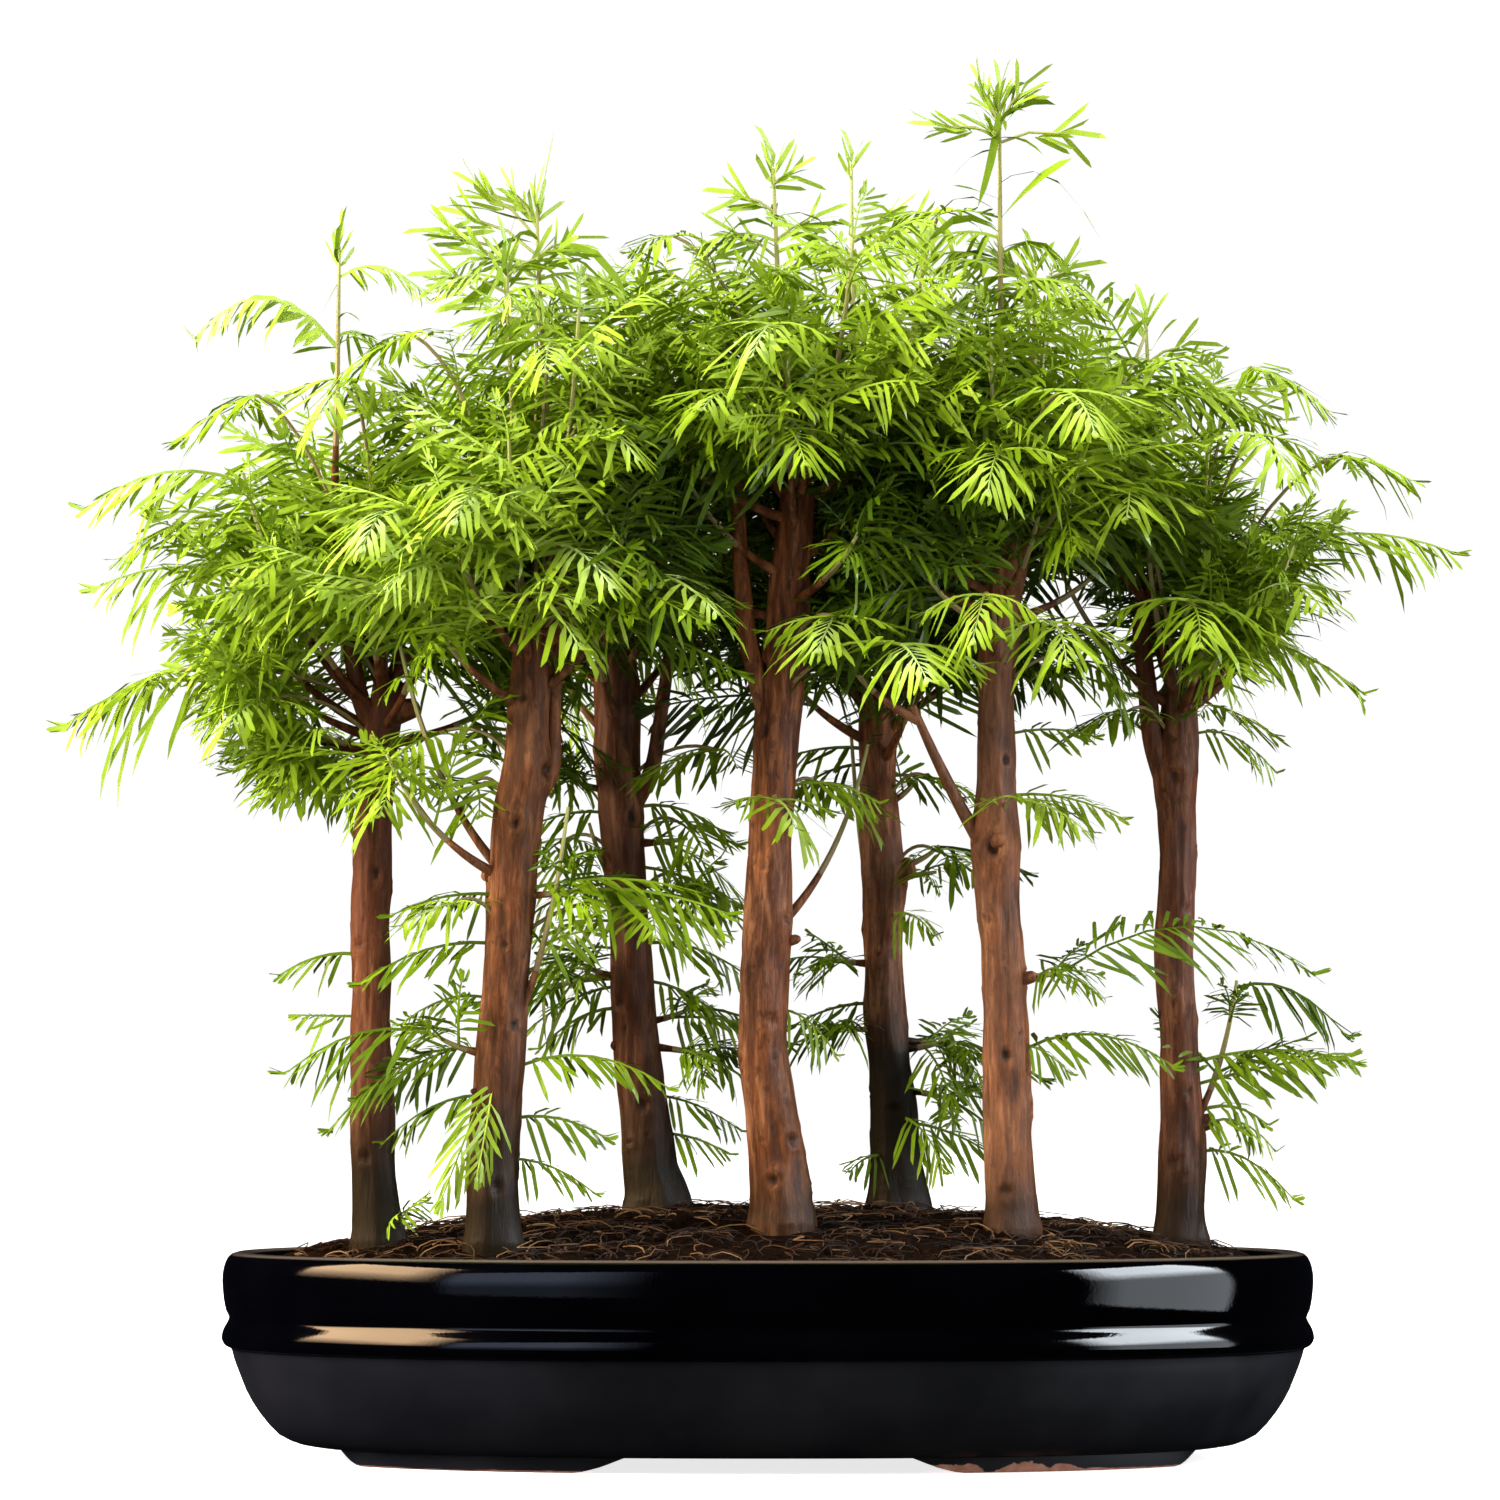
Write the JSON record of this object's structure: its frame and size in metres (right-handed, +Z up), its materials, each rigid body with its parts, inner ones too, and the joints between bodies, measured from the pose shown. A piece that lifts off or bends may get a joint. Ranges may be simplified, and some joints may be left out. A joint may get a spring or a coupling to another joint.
{
  "type": "dawn redwood bonsai forest",
  "caption": "Dawn redwood forest planting in a mound of soil in an oval black glazed tray on arc feet.",
  "frame": {"origin": "bottom centre of the whole bounding box, on the plane the feet stand on", "axes": "+Z up, X along the tray's length, -Y the front that the picture shows"},
  "size_m": [0.4952, 0.2932, 0.4967],
  "materials": {
    "glaze": "black glaze, very glossy on rim and belt, satin below the belt, bare reddish clay under the feet",
    "soil": null,
    "screen": "black plastic mesh",
    "bark": "red-brown bark that peels in vertical strips",
    "leaf": null
  },
  "bodies": {
    "root": {"drain_screen_left": "screen", "drain_screen_right": "screen", "soil": "soil", "tray": "glaze", "tree_1_spray_1": "leaf", "tree_1_spray_2": "leaf", "tree_1_spray_3": "leaf", "tree_1_spray_4": "leaf", "tree_1_spray_5": "leaf", "tree_1_spray_6": "leaf", "tree_1_spray_7": "leaf", "tree_1_wood": "bark", "tree_2_spray_1": "leaf", "tree_2_spray_2": "leaf", "tree_2_spray_3": "leaf", "tree_2_spray_4": "leaf", "tree_2_spray_5": "leaf", "tree_2_spray_6": "leaf", "tree_2_spray_7": "leaf", "tree_2_spray_8": "leaf", "tree_2_wood": "bark", "tree_3_spray_1": "leaf", "tree_3_spray_2": "leaf", "tree_3_spray_3": "leaf", "tree_3_spray_4": "leaf", "tree_3_spray_5": "leaf", "tree_3_spray_6": "leaf", "tree_3_wood": "bark", "tree_4_spray_1": "leaf", "tree_4_spray_2": "leaf", "tree_4_spray_3": "leaf", "tree_4_spray_4": "leaf", "tree_4_spray_5": "leaf", "tree_4_spray_6": "leaf", "tree_4_spray_7": "leaf", "tree_4_wood": "bark", "tree_5_spray_1": "leaf", "tree_5_spray_2": "leaf", "tree_5_spray_3": "leaf", "tree_5_spray_4": "leaf", "tree_5_spray_5": "leaf", "tree_5_spray_6": "leaf", "tree_5_spray_7": "leaf", "tree_5_wood": "bark", "tree_6_spray_1": "leaf", "tree_6_spray_2": "leaf", "tree_6_spray_3": "leaf", "tree_6_spray_4": "leaf", "tree_6_spray_5": "leaf", "tree_6_spray_6": "leaf", "tree_6_spray_7": "leaf", "tree_6_wood": "bark", "tree_7_spray_1": "leaf", "tree_7_spray_2": "leaf", "tree_7_spray_3": "leaf", "tree_7_spray_4": "leaf", "tree_7_spray_5": "leaf", "tree_7_spray_6": "leaf", "tree_7_spray_7": "leaf", "tree_7_wood": "bark"}
  },
  "joints": []
}
